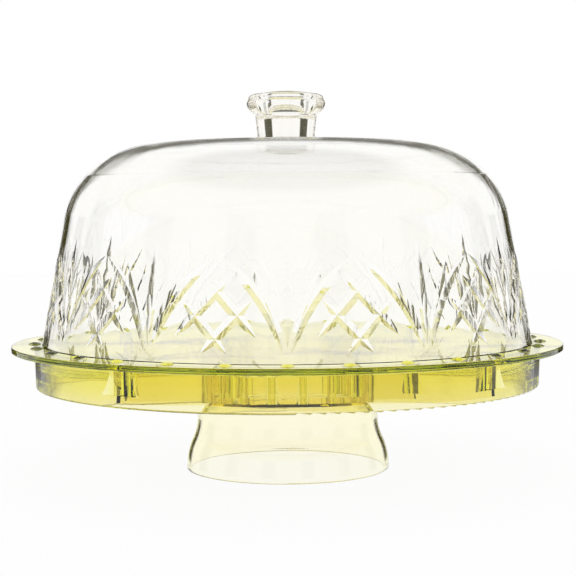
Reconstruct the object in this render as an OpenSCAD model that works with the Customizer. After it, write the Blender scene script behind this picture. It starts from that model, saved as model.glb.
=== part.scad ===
// Cake stand with dome: a flat beaded plate that turns over as a divided tray, an upside-down dip
// bowl as its pedestal, and a clear dome with a fan and diamond cut pattern and a round knob.
// Lengths are in millimetres. The table is z = 0, the axis is z, the front is -y.

/* [Plate] */
// Height of the plate's top above the table
plate_height = 74; // [68:0.5:84]
// Radius of the plate's rim
plate_radius = 158.75; // [150:0.25:168]
// Thickness of the plate
plate_thickness = 3.3; // [3:0.1:4]
// Rounding of the plate's edge
plate_edge = 0.8; // [0.4:0.1:1.2]

/* [Skirt and compartments] */
// How far the plate's rim stands out past the skirt
rim_overhang = 12.75; // [11:0.25:15]
// Depth of the skirt below the plate's top
skirt_depth = 24; // [22:0.5:27]
// Thickness of the skirt at its lower edge
skirt_edge = 2.2; // [2:0.1:3]
// Slope of the skirt's outer face, in degrees
skirt_outer_slope = 2.5; // [1:0.5:3]
// Slope of the skirt's inner face, in degrees
skirt_inner_slope = 9.5; // [5:0.5:12]
// Radius where the skirt's inner face turns into the plate
skirt_fillet = 3; // [2:0.5:4]
// Thickness of the four dividers
divider_thickness = 2.6; // [2:0.1:3.4]
// How far the dividers and the ring end above the skirt's edge
divider_rise = 2.7; // [1:0.1:4]
// Angle of the first line of dividers, measured from the front
divider_angle = -36.4; // [-50:0.2:-25]
// Angle between the two lines of dividers
divider_cross = 84; // [80:0.5:100]
// Radius of the compartments' upright corners at the skirt
corner_radius = 11; // [6:0.5:14]
// Radius of their upright corners at the ring
ring_corner = 7; // [3:0.5:9]
// Height of the corners' lower ends above the dividers' lower edge
corner_rise = 3.5; // [2:0.5:6]
// Thickness of the ring around the pedestal's top
ring_thickness = 2.4; // [2:0.1:3]
// Number of upright ribs inside the ring
rib_count = 18; // [12:2:24]
// Width of each upright rib
rib_width = 4; // [3:0.1:5]
// How far each rib stands in from the ring
rib_depth = 3.8; // [3:0.1:4.2]

/* [Beads] */
// Number of beads around the dome's foot
bead_count = 30; // [24:1:32]
// Width of each bead
bead_width = 7.6; // [6:0.1:8.2]
// Height of each bead
bead_height = 1.2; // [0.8:0.1:1.6]
// Gap between the dome and the beads
bead_gap = 0.5; // [0.3:0.1:1.5]
// Width of the flat rim outside the beads
bead_margin = 9.25; // [7:0.25:12]

/* [Pedestal] */
// Wall of the pedestal
bowl_wall = 2.4; // [2:0.1:3]
// Outer radius of the pedestal at the table
foot_radius = 59.1; // [58:0.1:62]
// How far the flare draws in from the foot to the upright waist
flare_run = 6.4; // [4:0.1:9]
// Height where the flare begins above the foot
flare_start = 2; // [1.5:0.5:4]
// Height of the upright waist
waist_height = 5.75; // [4:0.25:8]
// Radius of the pedestal's rounded shoulder
shoulder_radius = 24.2; // [22:0.1:27]
// Height of the rounded shoulder
shoulder_height = 16.5; // [14:0.5:18]
// Width of the flat margin around the low ring on the pedestal's top
top_ring_margin = 1.6; // [1.4:0.1:2]
// Height of the low ring
top_ring_height = 4.3; // [3:0.1:6]
// Gap between the low ring and the ribs around it
top_ring_gap = 0.4; // [0.4:0.1:0.7]
// Rounding of the foot's rim
rim_round = 0.8; // [0.3:0.1:0.9]

/* [Dome] */
// Wall of the dome
dome_wall = 3; // [2.8:0.1:3.4]
// Lean of the dome's side, in degrees
dome_lean = 10.5; // [9:0.5:12]
// Height of the straight side
dome_side = 72.5; // [70:0.5:80]
// Radius of the lower shoulder
dome_shoulder = 47; // [44:1:50]
// Angle where the lower shoulder ends
dome_shoulder_end = 38; // [34:1:42]
// Radius of the upper shoulder
dome_upper = 55.5; // [52:0.5:58]
// Angle where the upper shoulder turns into the crown
dome_upper_end = 85; // [83:0.5:86]

/* [Cut pattern] */
// Number of fans around the dome
fan_count = 12; // [10:1:14]
// Depth of the cuts
cut_depth = 0.9; // [0.7:0.05:1.2]
// Half of the angle between a cut's two faces
cut_angle = 73; // [68:1:76]
// Height of the fans' foot above the dome's foot
fan_foot = 4.2; // [3.5:0.1:6]
// Height of the middle cut's tip
fan_height = 64.5; // [58:0.5:67]
// How far a fan's straight side cuts lean out, as a share of the pitch
spear_reach = 0.254; // [0.2:0.002:0.3]
// How far a fan's curved cuts lean out, as a share of the pitch
arch_reach = 0.472; // [0.44:0.002:0.49]
// Height of the middle of each diamond
diamond_middle = 23.8; // [22:0.1:26]
// Half of each diamond's height
diamond_half_height = 11.5; // [10:0.1:13]
// Half of each diamond's width, as a share of the pitch
diamond_share = 0.1486; // [0.13:0.0002:0.16]

/* [Knob] */
// Radius of the knob's base
knob_base = 16.4; // [15.5:0.1:17]
// How far the collar under the head stands out past the base
knob_flare = 1.5; // [0.5:0.1:2.5]
// Height of the collar's edge
knob_collar_height = 13.2; // [12:0.1:15]
// How far the waist between the collar and the head is inside the base
knob_waist_step = 1; // [0:0.1:2.4]
// Radius of the head's lower round
knob_round = 7.5; // [6.5:0.1:8]
// Height of the head above its widest line
knob_head = 4.4; // [4:0.1:6]
// Rise of the head's crown
knob_crown = 2.2; // [1:0.1:3]
// Radius of the recess in the knob's top
recess_radius = 12; // [10:0.5:13]
// Depth of the recess
recess_depth = 13.5; // [10:0.5:15]
// Radius where the recess's side turns into its floor
recess_round = 8; // [4:0.5:8.5]
// Width of the dome's flat pad around the knob
pad_margin = 1; // [0.5:0.1:3]

/* [Hidden] */
$fn = 96;
sink = 0.6;
lap = 0.2;
trace = 0.01;
plate_under = plate_height - plate_thickness;
skirt_bottom = plate_height - skirt_depth;
divider_depth = skirt_depth - divider_rise;
divider_bottom = plate_height - divider_depth;
skirt_radius = plate_radius - rim_overhang;

edge_r = skirt_edge / 2;
edge_z = skirt_bottom + edge_r;
skirt_run = plate_under - edge_z;
edge_c = skirt_radius - skirt_run * tan(skirt_outer_slope) - edge_r / cos(skirt_outer_slope);
inner_top = edge_c - edge_r / cos(skirt_inner_slope) - skirt_run * tan(skirt_inner_slope);
fillet_z = plate_under - skirt_fillet;
fillet_r = inner_top + skirt_fillet * tan(skirt_inner_slope) - skirt_fillet / cos(skirt_inner_slope);
corner_bottom = divider_bottom + corner_rise;
corner_wall = inner_top + (plate_under - corner_bottom) * tan(skirt_inner_slope);

bead_ring = plate_radius - bead_margin - bead_width / 2;
bead_ball = (bead_width * bead_width / 4 + bead_height * bead_height) / (2 * bead_height);

// The flare is two equal turns, one hollow and one round, so their sum follows from its size.
bowl_top = divider_bottom;
bowl_floor = bowl_top - bowl_wall;
flare_top = bowl_top - shoulder_height - waist_height;
flare_height = flare_top - flare_start;
flare_turn = 2 * atan(flare_run / flare_height);
flare_sum = flare_height / sin(flare_turn);
hollow_share = 0.426;
hollow_r = hollow_share * flare_sum;
round_r = flare_sum - hollow_r;
flare_mid = flare_start + round_r * sin(flare_turn);
waist_radius = foot_radius - flare_run;
shoulder_z = bowl_top - shoulder_height;
shoulder_c = waist_radius - shoulder_radius;
flat_radius = shoulder_c + sqrt(shoulder_radius * shoulder_radius - shoulder_height * shoulder_height);
top_ring_radius = flat_radius - top_ring_margin;
top_ring_inner = top_ring_radius - bowl_wall;
top_ring_round = bowl_wall / 2;
ring_inner = top_ring_radius + top_ring_gap + rib_depth;
ring_radius = ring_inner + ring_thickness;

dome_radius = bead_ring - bead_width / 2 - bead_gap;
tall = dome_side + dome_shoulder + dome_upper;
low_r = dome_radius - dome_side * tan(dome_lean);
low_c = [low_r - dome_shoulder * cos(dome_lean), dome_side - dome_shoulder * sin(dome_lean)];
mid_p = low_c + dome_shoulder * [cos(dome_shoulder_end), sin(dome_shoulder_end)];
mid_c = mid_p - dome_upper * [cos(dome_shoulder_end), sin(dome_shoulder_end)];
top_p = mid_c + dome_upper * [cos(dome_upper_end), sin(dome_upper_end)];
crown_r = top_p[0] / cos(dome_upper_end);
crown_c = top_p[1] - crown_r * sin(dome_upper_end);
pad_r = knob_base + pad_margin;
pad_z = crown_c + sqrt(crown_r * crown_r - pad_r * pad_r);
knob_z = plate_height + pad_z;
knob_collar = knob_base + knob_flare;
knob_waist = knob_base - knob_waist_step;
knob_waist_height = 0.4;
knob_wide = knob_collar_height + knob_waist_height + knob_round;
knob_wide_r = knob_waist + knob_round;
knob_corner = 2.6;
knob_taper = 0.9;
knob_top_r = knob_wide_r - knob_taper;
knob_top = knob_wide + knob_head + knob_crown;
recess_floor = knob_top - recess_depth;

pitch = 2 * PI * dome_radius / fan_count;
spear = spear_reach * pitch;
arch = arch_reach * pitch;
diamond_half_width = diamond_share * pitch;
cut_out = 0.8;
cut_start = -0.15;

// A solid of revolution between two heights, kept inside a radius.
module band(r, z0, z1) {
    translate([0, z0]) square([r, z1 - z0]);
}

// The plate's half section, with its rounded rim.
module plate_section() {
    translate([0, plate_under]) union() {
        square([plate_radius - plate_edge, plate_thickness]);
        translate([0, plate_edge]) square([plate_radius, plate_thickness - 2 * plate_edge]);
        translate([plate_radius - plate_edge, plate_edge]) circle(plate_edge);
        translate([plate_radius - plate_edge, plate_thickness - plate_edge]) circle(plate_edge);
    }
}

// The skirt's half section: both faces slope, the lower edge is round, and the inner face curves
// into the plate.
module skirt_section() {
    run = skirt_fillet + sink;
    polygon([
        [edge_c + edge_r * cos(skirt_outer_slope), edge_z - edge_r * sin(skirt_outer_slope)],
        [skirt_radius, plate_under],
        [skirt_radius, plate_under + sink],
        [inner_top, plate_under + sink],
        [inner_top, plate_under],
        [edge_c - edge_r * cos(skirt_inner_slope), edge_z - edge_r * sin(skirt_inner_slope)]
    ]);
    translate([edge_c, edge_z]) circle(edge_r);
    difference() {
        polygon([
            [fillet_r, plate_under + sink],
            [inner_top + sink, plate_under + sink],
            [fillet_r + run * cos(skirt_inner_slope), fillet_z + run * sin(skirt_inner_slope)],
            [fillet_r, fillet_z]
        ]);
        translate([fillet_r, fillet_z]) circle(skirt_fillet);
    }
}

// One bead: a low round button that stands on the plate.
module bead() {
    rotate_extrude() intersection() {
        translate([0, bead_height - bead_ball]) circle(bead_ball);
        translate([0, -sink]) square([bead_ball, bead_height + sink + 1]);
    }
}

// The solid left in a corner when an upright round turns a divider into a wall. s is the wall's
// radius there, and way is 1 for a wall outside the compartment and -1 for one inside it.
module corner(s, c, way) {
    y = divider_thickness / 2 + c;
    turn = asin(y / (s - way * c));
    r = (s - way * c) * cos(turn);
    out = s + way * sink;
    translate([0, 0, corner_bottom]) linear_extrude(plate_under + sink - corner_bottom) difference() {
        polygon([
            [r, y],
            [r, 0],
            [out, 0],
            [out * cos(turn), out * sin(turn)]
        ]);
        translate([r, y]) circle(c);
    }
}

// One divider, with a round in each of the upright corners at its two ends.
module divider() {
    h = plate_under + sink - divider_bottom;
    translate([ring_radius - sink, -divider_thickness / 2, divider_bottom])
        cube([edge_c - ring_radius + sink, divider_thickness, h]);
    for (side = [0, 1]) mirror([0, side, 0]) {
        corner(corner_wall, corner_radius, 1);
        corner(ring_radius, ring_corner, -1);
    }
}

// One rib: a round nose that stands on the pedestal's top, and a web back to the ring.
module rib() {
    nose = ring_inner - rib_depth + rib_width / 2;
    h = plate_under + sink - divider_bottom;
    translate([nose, 0, divider_bottom]) cylinder(h = h, r = rib_width / 2);
    translate([nose, -rib_width / 2, divider_bottom]) cube([ring_inner + sink - nose, rib_width, h]);
}

// The plate that turns over as a tray, with all that is moulded on it.
module tray() {
    color([0.72, 0.74, 0.12]) union() {
        rotate_extrude() union() {
            plate_section();
            skirt_section();
            translate([ring_inner, divider_bottom])
                square([ring_thickness, plate_under + sink - divider_bottom]);
        }
        for (half = [0, 180], turn = [0, divider_cross])
            rotate([0, 0, divider_angle - 90 + half + turn]) divider();
        for (i = [0:rib_count - 1]) rotate([0, 0, (i + 0.5) * 360 / rib_count - 90]) rib();
        for (i = [0:bead_count - 1]) rotate([0, 0, i * 360 / bead_count - 90])
            translate([bead_ring, 0, plate_height]) bead();
    }
}

// The pedestal's profile out to one face. d is the distance in from the outer face. Each curve is
// set off by the trace, so that it crosses its neighbour in one clear corner where the two are tangent.
module bowl_face(d, z0, z1) {
    intersection() {
        union() {
            intersection() {
                band(foot_radius - d, z0 - 1, flare_top);
                union() {
                    band(foot_radius + 1, z0 - 1, flare_start);
                    band(foot_radius - round_r, z0 - 1, flare_top);
                    translate([foot_radius - round_r, flare_start]) circle(round_r - d + trace);
                }
            }
            difference() {
                band(foot_radius - 2, flare_mid, flare_top);
                translate([waist_radius + hollow_r, flare_top]) circle(hollow_r + d + trace);
            }
            intersection() {
                band(waist_radius - d, flare_mid, bowl_top);
                union() {
                    band(foot_radius + 1, flare_mid, shoulder_z);
                    band(shoulder_c, flare_mid, bowl_top);
                    translate([shoulder_c, shoulder_z]) circle(shoulder_radius - d + trace);
                }
            }
        }
        band(foot_radius + 2, z0, z1);
    }
}

// The dip bowl upside down: its rim is the foot, and the bowl's own foot is the low ring on top.
module pedestal() {
    color([0.9, 0.86, 0.35]) rotate_extrude() union() {
        difference() {
            bowl_face(0, rim_round, bowl_top);
            bowl_face(bowl_wall, rim_round - 1, bowl_floor);
        }
        translate([foot_radius - bowl_wall + rim_round, 0])
            square([bowl_wall - 2 * rim_round, rim_round + sink]);
        for (r = [foot_radius - rim_round, foot_radius - bowl_wall + rim_round])
            translate([r, rim_round]) circle(rim_round);
        translate([top_ring_inner, bowl_top - sink])
            square([bowl_wall, top_ring_height - top_ring_round + sink]);
        translate([top_ring_inner + top_ring_round, bowl_top + top_ring_height - top_ring_round])
            circle(top_ring_round);
    }
}

// The dome's profile out to one face. d is the distance in from the outer face.
module dome_face(d) {
    z1 = low_c[1] + (dome_shoulder - d) * sin(dome_lean);
    z2 = low_c[1] + (dome_shoulder - d) * sin(dome_shoulder_end);
    z3 = mid_c[1] + (dome_upper - d) * sin(dome_upper_end);
    foot = dome_radius - d / cos(dome_lean);
    intersection() {
        polygon([
            [0, -1],
            [foot + tan(dome_lean), -1],
            [foot - tall * tan(dome_lean), tall],
            [0, tall]
        ]);
        union() {
            band(dome_radius + 1, -1, z1);
            band(low_c[0], z1 - lap, z2 + lap);
            translate(low_c) circle(dome_shoulder - d + trace);
            band(mid_c[0], z2 - lap, z3 + lap);
            intersection() {
                translate(mid_c) circle(dome_upper - d - trace);
                band(dome_radius, z2, tall);
            }
            intersection() {
                translate([0, crown_c]) circle(crown_r - d - 2 * trace);
                band(dome_radius, z3, pad_z - d);
            }
        }
    }
}

// Outer radius of the dome's straight side at a height.
function side_r(z) = dome_radius - z * tan(dome_lean);

// A point beside the outer face at p = [way round in mm, height]: out is the distance outward and
// off the way across the cut.
function wall_point(p, t, out, off) =
    let (
        r = side_r(p[1]),
        a = p[0] / r * 180 / PI,
        n = [sin(a) * cos(dome_lean), -cos(a) * cos(dome_lean), sin(dome_lean)],
        e = [cos(a), sin(a), 0],
        u = [-sin(a) * sin(dome_lean), cos(a) * sin(dome_lean), cos(dome_lean)]
    )
    [r * sin(a), -r * cos(a), p[1]] + out * n + off * (t[1] * e - t[0] * u);

function curve(a, b, c, u) = (1 - u) * (1 - u) * a + 2 * u * (1 - u) * b + u * u * c;
function unit(v) = v / norm(v);

// A wheel cut along a curve a, b, c on the dome's side: a V that is deep in the middle and runs out
// at both ends. full sets how long it stays deep.
module cut(a, b, c, full, steps) {
    places = [for (i = [0:steps]) i / steps];
    points = [for (u = places)
        let (
            p = curve(a, b, c, u),
            t = unit((1 - u) * (b - a) + u * (c - b)),
            d = cut_start + (cut_depth - cut_start) * (1 - pow(abs(2 * u - 1), full)),
            w = (d + cut_out) * tan(cut_angle)
        )
        each [
            wall_point(p, t, -d, 0),
            wall_point(p, t, cut_out, -w),
            wall_point(p, t, cut_out, w)
        ]
    ];
    sides = [for (i = [0:steps - 1], k = [0:2])
        let (p = 3 * i + k, q = 3 * i + (k + 1) % 3)
        each [[p, p + 3, q], [q, p + 3, q + 3]]
    ];
    polyhedron(points, concat([[0, 1, 2]], sides, [[3 * steps, 3 * steps + 2, 3 * steps + 1]]));
}

// One fan: a tall middle cut, a shorter one each side, and a curved one that makes an arch with the
// next fan's.
module fan() {
    cut([0, fan_foot + 0.6], [0, fan_height / 2], [0, fan_height], 2, 4);
    for (s = [-1, 1]) {
        cut(
            [s * 0.064 * spear, fan_foot + 0.2],
            [s * 0.394 * spear, 0.4 * fan_height],
            [s * spear, 0.8 * fan_height],
            2.4, 4
        );
        cut(
            [s * 0.061 * arch, fan_foot],
            [s * 0.172 * arch, 0.486 * fan_height],
            [s * arch, 0.832 * fan_height],
            3, 8
        );
    }
}

// The two pairs of crossing cuts between two fans, which leave one whole diamond.
module lattice() {
    for (s = [-1, 1]) {
        cut_line(s, diamond_middle + diamond_half_height, -0.68, 2.045);
        cut_line(s, diamond_middle - diamond_half_height, -1.727, 0.727);
    }
}

// One straight cut that slopes through a diamond's top or bottom corner. x0 and x1 are its ends in
// half widths of the diamond.
module cut_line(s, z, x0, x1) {
    a = [s * x0 * diamond_half_width, z - x0 * diamond_half_height];
    c = [s * x1 * diamond_half_width, z - x1 * diamond_half_height];
    cut(a, (a + c) / 2, c, 3, 4);
}

// The clear cover, with the pattern cut into its straight side.
module dome() {
    color([0.85, 0.9, 0.92, 0.5]) translate([0, 0, plate_height]) difference() {
        rotate_extrude() difference() {
            intersection() {
                dome_face(0);
                band(dome_radius + 1, 0, tall);
            }
            dome_face(dome_wall);
        }
        for (i = [0:fan_count - 1]) rotate([0, 0, i * 360 / fan_count]) {
            fan();
            rotate([0, 0, 180 / fan_count]) lattice();
        }
    }
}

// The knob: a base that flares to a collar, a waist, and a round head with a low crown. The recess
// makes the head a ring to stand on when the dome is turned over as a bowl.
module knob() {
    color([0.88, 0.92, 0.93, 0.6]) translate([0, 0, knob_z]) rotate_extrude() difference() {
        knob_section();
        recess_section();
    }
}

// The knob's half section without its recess.
module knob_section() {
    polygon([
        [0, 0],
        [knob_base, 0],
        [knob_collar, knob_collar_height],
        [0, knob_collar_height]
    ]);
    band(knob_waist, knob_collar_height - sink, knob_wide);
    intersection() {
        translate([knob_waist, knob_wide]) circle(knob_round);
        translate([0, knob_wide - knob_round]) square([knob_wide_r + 1, knob_round]);
    }
    polygon([
        [0, knob_wide],
        [knob_wide_r, knob_wide],
        [knob_top_r, knob_wide + knob_head - knob_corner],
        [knob_top_r - knob_corner, knob_wide + knob_head],
        [0, knob_wide + knob_head]
    ]);
    translate([knob_top_r - knob_corner, knob_wide + knob_head - knob_corner]) circle(knob_corner);
    intersection() {
        cap = (pow(knob_top_r - knob_corner, 2) + knob_crown * knob_crown) / (2 * knob_crown);
        translate([0, knob_top - cap]) circle(cap);
        translate([0, knob_wide + knob_head - sink]) square([knob_top_r - knob_corner, knob_crown + 1]);
    }
}

// The half section of the recess, up past the knob's top.
module recess_section() {
    band(recess_radius, recess_floor + recess_round, knob_top + 1);
    band(recess_radius - recess_round, recess_floor, knob_top);
    translate([recess_radius - recess_round, recess_floor + recess_round]) circle(recess_round);
}

tray();
pedestal();
dome();
knob();
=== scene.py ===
import math

import bpy
from mathutils import Matrix

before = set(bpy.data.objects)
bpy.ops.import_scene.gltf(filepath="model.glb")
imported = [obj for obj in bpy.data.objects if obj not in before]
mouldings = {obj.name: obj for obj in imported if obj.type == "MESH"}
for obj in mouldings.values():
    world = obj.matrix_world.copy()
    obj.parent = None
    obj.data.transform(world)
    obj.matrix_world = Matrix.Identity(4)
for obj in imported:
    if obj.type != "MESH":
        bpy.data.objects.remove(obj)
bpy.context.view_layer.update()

# The pedestal is a dip bowl turned upside down. It is one injection moulding with a thin wall, in a
# pale mix of clear yellow styrene, and the plate lies loose on its flat top. Its round shoulder throws
# the light about like a lens.

# A tint is the share of the light that each face lets through: the pale one where the melt ran fast,
# the full one where it lay longer. What a piece absorbs is how strongly a metre of it takes up red,
# green and blue.
PEDESTAL_PALE_TINT = (1.0, 0.995, 0.99)
PEDESTAL_FULL_TINT = (1.0, 0.985, 0.98)
PEDESTAL_ABSORBS = (1, 3.5, 55)
STYRENE_IOR = 1.49
MOST_TAKEN_UP = 0.999
MOULD_WAVE_DEPTH, MOULD_WAVE_STRENGTH = 0.0005, 0.3

# Each effect follows a cloudy noise, given as how many clouds it has to the metre and how finely each
# is broken up. Smears, wipes and the full tint set in between two densities of their cloud.
TINT_DRIFT, TINT_SETS_IN = (7, 1.0), (0.3, 0.7)
SMEAR_CLOUDS, SMEARS_SET_IN = (22, 4.0), (0.5, 0.75)
WIPE_CLOUDS, WIPES_SET_IN = (9, 3.0), (0.66, 0.7)
WIPES_ALONG, WIPES_ACROSS = (2, 60, 50), (55, 3, 40)
SLOW_WAVES, FINE_WAVES, FINE_WAVE_SHARE = (14, 1.0), (60, 2.0), 0.12


def reckon(tree, operation, first, second=None):
    """One sum in a node tree. Each value is a number or another node's output."""
    step = tree.nodes.new("ShaderNodeMath")
    step.operation = operation
    for socket, value in zip(step.inputs, (first, second)):
        if isinstance(value, (int, float)):
            socket.default_value = value
        elif value is not None:
            tree.links.new(value, socket)
    return step.outputs[0]


def soft_step(tree, value, start, end, low=0.0, high=1.0):
    """A soft change from low to high while a value goes from start to end."""
    step = tree.nodes.new("ShaderNodeMapRange")
    step.interpolation_type = "SMOOTHSTEP"
    tree.links.new(value, step.inputs["Value"])
    ends = {"From Min": start, "From Max": end, "To Min": low, "To Max": high}
    for label, number in ends.items():
        step.inputs[label].default_value = number
    return step.outputs["Result"]


def blend(tree, share):
    """A blend of two colours. Returns the sockets of both colours and the socket of the blend."""
    mix = tree.nodes.new("ShaderNodeMix")
    mix.data_type = "RGBA"
    tree.links.new(share, mix.inputs["Factor"])
    colours_in = [socket for socket in mix.inputs if socket.type == "RGBA"]
    colour_out = next(socket for socket in mix.outputs if socket.type == "RGBA")
    return *colours_in, colour_out


def cloud(tree, place, to_the_metre, broken_up, stretch=(1, 1, 1)):
    """A cloudy noise over a piece's own place, in metres."""
    turn = tree.nodes.new("ShaderNodeMapping")
    turn.inputs["Scale"].default_value = stretch
    tree.links.new(place, turn.inputs["Vector"])
    noise = tree.nodes.new("ShaderNodeTexNoise")
    noise.inputs["Scale"].default_value = to_the_metre
    noise.inputs["Detail"].default_value = broken_up
    tree.links.new(turn.outputs[0], noise.inputs["Vector"])
    return noise.outputs["Fac"]


def new_group(name, inputs, outputs):
    """An empty shader node group with named sockets, its input node and its output node."""
    group = bpy.data.node_groups.new(name, "ShaderNodeTree")
    for label, kind, value in inputs:
        socket = group.interface.new_socket(label, in_out="INPUT", socket_type=kind)
        socket.default_value = value
    for label, kind in outputs:
        group.interface.new_socket(label, in_out="OUTPUT", socket_type=kind)
    return group, group.nodes.new("NodeGroupInput"), group.nodes.new("NodeGroupOutput")


# The face that a polished mould leaves. The mould's slow waves are a height, and faint smears and the
# fine scratches of wiping are a roughness.
moulded_face, asked, given = new_group(
    "moulded face",
    [
        ("Place", "NodeSocketVector", (0, 0, 0)),
        ("Smears", "NodeSocketFloat", 0.01),
        ("Scratches", "NodeSocketFloat", 0.03),
        ("Waves", "NodeSocketFloat", 1.0),
    ],
    [("Roughness", "NodeSocketFloat"), ("Height", "NodeSocketFloat")],
)
place = asked.outputs["Place"]
smears = soft_step(moulded_face, cloud(moulded_face, place, *SMEAR_CLOUDS), *SMEARS_SET_IN)
scratches = reckon(moulded_face, "MAXIMUM", *(
    soft_step(moulded_face, cloud(moulded_face, place, *WIPE_CLOUDS, wipes), *WIPES_SET_IN)
    for wipes in (WIPES_ALONG, WIPES_ACROSS)
))
rough = reckon(
    moulded_face, "ADD",
    reckon(moulded_face, "MULTIPLY", smears, asked.outputs["Smears"]),
    reckon(moulded_face, "MULTIPLY", scratches, asked.outputs["Scratches"]),
)
moulded_face.links.new(rough, given.inputs["Roughness"])
slow = cloud(moulded_face, place, *SLOW_WAVES)
fine = cloud(moulded_face, place, *FINE_WAVES)
height = reckon(moulded_face, "ADD", slow, reckon(moulded_face, "MULTIPLY", fine, FINE_WAVE_SHARE))
height = reckon(moulded_face, "MULTIPLY", height, asked.outputs["Waves"])
moulded_face.links.new(height, given.inputs["Height"])

# The tint of the melt, which drifts slowly over the piece.
melt_tint, asked, given = new_group(
    "melt tint",
    [
        ("Place", "NodeSocketVector", (0, 0, 0)),
        ("Pale", "NodeSocketColor", (1, 1, 1, 1)),
        ("Full", "NodeSocketColor", (1, 1, 1, 1)),
    ],
    [("Color", "NodeSocketColor")],
)
drift = cloud(melt_tint, asked.outputs["Place"], *TINT_DRIFT)
pale, full, tinted = blend(melt_tint, soft_step(melt_tint, drift, *TINT_SETS_IN))
melt_tint.links.new(asked.outputs["Pale"], pale)
melt_tint.links.new(asked.outputs["Full"], full)
melt_tint.links.new(tinted, given.inputs["Color"])


def clear_plastic(name, pale_tint, full_tint, absorbs, smears, scratches, waves):
    """A clear moulded plastic, with its tint, its polish and the light that it takes up."""
    finish = bpy.data.materials.new(name)
    finish.use_nodes = True
    tree = finish.node_tree
    plastic = tree.nodes["Principled BSDF"]
    plastic.inputs["IOR"].default_value = STYRENE_IOR
    plastic.inputs["Transmission Weight"].default_value = 1
    place = tree.nodes.new("ShaderNodeTexCoord").outputs["Object"]

    tint = tree.nodes.new("ShaderNodeGroup")
    tint.node_tree = melt_tint
    tree.links.new(place, tint.inputs["Place"])
    tint.inputs["Pale"].default_value = (*pale_tint, 1)
    tint.inputs["Full"].default_value = (*full_tint, 1)
    tree.links.new(tint.outputs["Color"], plastic.inputs["Base Color"])

    face = tree.nodes.new("ShaderNodeGroup")
    face.node_tree = moulded_face
    tree.links.new(place, face.inputs["Place"])
    for label, value in {"Smears": smears, "Scratches": scratches, "Waves": waves}.items():
        face.inputs[label].default_value = value
    tree.links.new(face.outputs["Roughness"], plastic.inputs["Roughness"])
    bump = tree.nodes.new("ShaderNodeBump")
    bump.inputs["Strength"].default_value = MOULD_WAVE_STRENGTH
    bump.inputs["Distance"].default_value = MOULD_WAVE_DEPTH
    tree.links.new(face.outputs["Height"], bump.inputs["Height"])
    tree.links.new(bump.outputs["Normal"], plastic.inputs["Normal"])

    # A metre takes up each colour as the density times what that colour lacks to white. The one that
    # it takes up most keeps a thousandth, so none is black.
    density = max(absorbs) / MOST_TAKEN_UP
    depth = tree.nodes.new("ShaderNodeVolumeAbsorption")
    depth.inputs["Color"].default_value = (*(1 - taken / density for taken in absorbs), 1)
    depth.inputs["Density"].default_value = density
    tree.links.new(depth.outputs[0], tree.nodes["Material Output"].inputs["Volume"])
    return finish


def give_finish(node, finish):
    """Puts a finish in a moulding's material slot."""
    mesh = mouldings[node].data
    mesh.materials.clear()
    mesh.materials.append(finish)


give_finish("pedestal", clear_plastic(
    "pale yellow styrene", PEDESTAL_PALE_TINT, PEDESTAL_FULL_TINT, PEDESTAL_ABSORBS,
    smears=0.01, scratches=0.03, waves=1.0,
))

# The tray is the cake plate, and turned over it is a dish with four compartments. It is one injection
# moulding in clear yellow-green styrene, entered at its middle, so its broad faces keep slow waves. It
# lies loose on the pedestal, whose foot ring stands inside the ring of ribs.
TRAY_PALE_TINT = (0.965, 0.915, 0.86)
TRAY_FULL_TINT = (0.945, 0.895, 0.83)
TRAY_ABSORBS = (4, 3, 150)
give_finish("tray", clear_plastic(
    "yellow-green styrene", TRAY_PALE_TINT, TRAY_FULL_TINT, TRAY_ABSORBS,
    smears=0.01, scratches=0.03, waves=1.0,
))

# The dome is the cover, a clear colourless styrene moulding with the look of cut glass. Its cuts are
# moulded in with crisp edges, its crown is plain, and it stands loose inside the plate's beads.
DOME_CLEAR_TINT = (1.0, 1.0, 1.0)
DOME_FAINT_TINT = (0.996, 0.995, 0.988)
DOME_ABSORBS = (0.5, 1, 3)
give_finish("dome", clear_plastic(
    "clear styrene", DOME_CLEAR_TINT, DOME_FAINT_TINT, DOME_ABSORBS,
    smears=0.01, scratches=0.03, waves=0.6,
))

# The knob is a clear moulding of its own, glued to the dome's flat pad. It is the same colourless
# styrene as the dome, with the thickest walls, and it has fewer scratches from wiping.
KNOB_ABSORBS = (0.5, 1, 2.5)
give_finish("knob", clear_plastic(
    "clear knob styrene", DOME_CLEAR_TINT, DOME_FAINT_TINT, KNOB_ABSORBS,
    smears=0.01, scratches=0.02, waves=0.8,
))

# The table is a plain white sweep without an edge. Most of it is the bare background, and the rest is
# matt white, which takes the stand's faint shadow.
TABLE_SIZE = 6
TABLE_WHITE = 0.95
TABLE_MATT_SHARE = 0.05

bpy.ops.object.select_all(action="DESELECT")
bpy.ops.mesh.primitive_plane_add(size=TABLE_SIZE, location=(0, 0, 0))
table = bpy.context.object
table.name = "table"
sweep = bpy.data.materials.new("white sweep")
sweep.use_nodes = True
tree = sweep.node_tree
tree.nodes.clear()
matt = tree.nodes.new("ShaderNodeBsdfDiffuse")
matt.inputs["Color"].default_value = (TABLE_WHITE, TABLE_WHITE, TABLE_WHITE, 1)
bare = tree.nodes.new("ShaderNodeBsdfTransparent")
parts = tree.nodes.new("ShaderNodeMixShader")
parts.inputs["Fac"].default_value = TABLE_MATT_SHARE
tree.links.new(bare.outputs[0], parts.inputs[1])
tree.links.new(matt.outputs[0], parts.inputs[2])
surface = tree.nodes.new("ShaderNodeOutputMaterial").inputs["Surface"]
tree.links.new(parts.outputs[0], surface)
table.data.materials.append(sweep)

# The studio lights the stand from all round, and clear plastic shows what stands there. It is a ring of
# tall white panels with a pale gap between each two, two black gaps behind the stand that draw the
# dome's dark sides, a dark strip over the back panel that draws its thin top line, and a dark ceiling.

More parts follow.
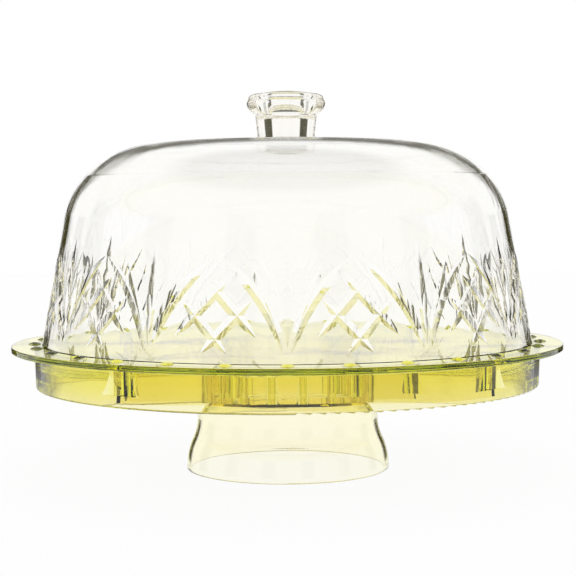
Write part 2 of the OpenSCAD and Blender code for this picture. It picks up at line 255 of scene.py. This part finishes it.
# A height is the upward part of a direction, from 0 on the level to 1 straight up. A soft edge is
# written as where it starts and where it ends. Dark is how much of the white a gap takes away.
PANELS = 8
PANEL_GAP_EDGE = (-0.6, -0.35)  # of the cosine that turns once for each panel
PANEL_GAP_DARK = 0.4
BACK_PANEL_EDGE = (0.7, 0.74)  # of the cosine of the angle from the back
BACK_GAP_OPENS, BACK_GAP_CLOSES = (18, 20), (33, 35)  # degrees from the back, to either side
BACK_GAP_DARK = 1.0
GAP_BOTTOM, GAP_TOP = (-0.15, -0.10), (0.3, 0.45)
STRIP_BOTTOM, STRIP_TOP = (0.2, 0.26), (0.45, 0.55)
STRIP_END = (0.8, 0.87)  # of the cosine of the angle from the back
STRIP_DARK = 0.85
CEILING_EDGE = (0.75, 0.9)
CEILING_LEVEL = 0.1
DARK_COLOUR = (0.05, 0.045, 0.015)
MATT_LIGHT = 0.9

studio = bpy.data.worlds.new("studio")
bpy.context.scene.world = studio
studio.use_nodes = True
room = studio.node_tree
room.nodes.clear()


def between(value, opens, closes):
    """1 where a value lies between two soft edges of the studio, and 0 outside them."""
    inside = soft_step(room, value, *opens)
    return reckon(room, "MULTIPLY", inside, soft_step(room, value, *closes, 1.0, 0.0))


direction = room.nodes.new("ShaderNodeSeparateXYZ")
room.links.new(room.nodes.new("ShaderNodeTexCoord").outputs["Generated"], direction.inputs[0])
way_x, way_y, way_up = direction.outputs
from_back = reckon(room, "ARCTAN2", way_x, way_y)
backward = reckon(room, "COSINE", from_back)

panel_turn = reckon(room, "COSINE", reckon(room, "MULTIPLY", from_back, PANELS))
panel_gaps = reckon(
    room, "MULTIPLY",
    soft_step(room, panel_turn, *PANEL_GAP_EDGE, PANEL_GAP_DARK, 0.0),
    soft_step(room, backward, *BACK_PANEL_EDGE, 1.0, 0.0),
)
degrees_off = reckon(room, "DEGREES", reckon(room, "ABSOLUTE", from_back))
back_gaps = between(degrees_off, BACK_GAP_OPENS, BACK_GAP_CLOSES)
back_gaps = reckon(room, "MULTIPLY", back_gaps, BACK_GAP_DARK)
gaps = reckon(room, "MAXIMUM", panel_gaps, back_gaps)
gaps = reckon(room, "MULTIPLY", gaps, between(way_up, GAP_BOTTOM, GAP_TOP))

strip = reckon(room, "MULTIPLY", between(way_up, STRIP_BOTTOM, STRIP_TOP), STRIP_DARK)
strip = reckon(room, "MULTIPLY", strip, soft_step(room, backward, *STRIP_END))
white = reckon(room, "SUBTRACT", 1.0, reckon(room, "MAXIMUM", gaps, strip))
ceiling = soft_step(room, way_up, *CEILING_EDGE, 1.0, CEILING_LEVEL)
white = reckon(room, "MINIMUM", white, ceiling)

# The camera itself sees plain white. Gloss and clear plastic see the panels and the gaps. What is matt
# is lit evenly, at a level where a colour renders as written.
ray = room.nodes.new("ShaderNodeLightPath")
camera_ray = ray.outputs["Is Camera Ray"]
sees_studio = reckon(room, "MAXIMUM", camera_ray, ray.outputs["Is Glossy Ray"])
sees_studio = reckon(room, "MAXIMUM", sees_studio, ray.outputs["Is Transmission Ray"])
white = reckon(room, "MAXIMUM", white, camera_ray)
white = reckon(room, "MAXIMUM", white, reckon(room, "SUBTRACT", 1.0, sees_studio))
dark_side, white_side, shade = blend(room, white)
dark_side.default_value = (*DARK_COLOUR, 1)
white_side.default_value = (1, 1, 1, 1)
brightness = reckon(room, "ADD", reckon(room, "MULTIPLY", sees_studio, 1 - MATT_LIGHT), MATT_LIGHT)
surround = room.nodes.new("ShaderNodeBackground")
room.links.new(shade, surround.inputs["Color"])
room.links.new(brightness, surround.inputs["Strength"])
room.links.new(surround.outputs[0], room.nodes.new("ShaderNodeOutputWorld").inputs["Surface"])

# The stand is seen from the front through a long lens, from 828 mm before its axis and 145 mm above the
# table, looking down by under three degrees. The picture leans by a third of a degree.
EYE_DISTANCE, EYE_HEIGHT = 0.8278, 0.1449
LOOK_DOWN, LOOK_RIGHT, LEAN = 2.781, 0.0415, 0.329
FILM_WIDTH, LENS_LENGTH = 36, 88.73
FACES_SEEN_THROUGH = 32

lens = bpy.data.cameras.new("camera")
lens.sensor_width = FILM_WIDTH
lens.lens = LENS_LENGTH
camera = bpy.data.objects.new("camera", lens)
bpy.context.scene.collection.objects.link(camera)
camera.matrix_world = (
    Matrix.Translation((0, -EYE_DISTANCE, EYE_HEIGHT))
    @ Matrix.Rotation(math.radians(-LOOK_RIGHT), 4, "Z")
    @ Matrix.Rotation(math.radians(90 - LOOK_DOWN), 4, "X")
    @ Matrix.Rotation(math.radians(-LEAN), 4, "Z")
)
scene = bpy.context.scene
scene.camera = camera
scene.view_settings.view_transform = "Standard"

# Light goes through many faces of clear plastic before it leaves the stand again.
scene.cycles.max_bounces = FACES_SEEN_THROUGH
scene.cycles.transmission_bounces = FACES_SEEN_THROUGH
scene.cycles.transparent_max_bounces = FACES_SEEN_THROUGH
scene.cycles.glossy_bounces = FACES_SEEN_THROUGH // 2
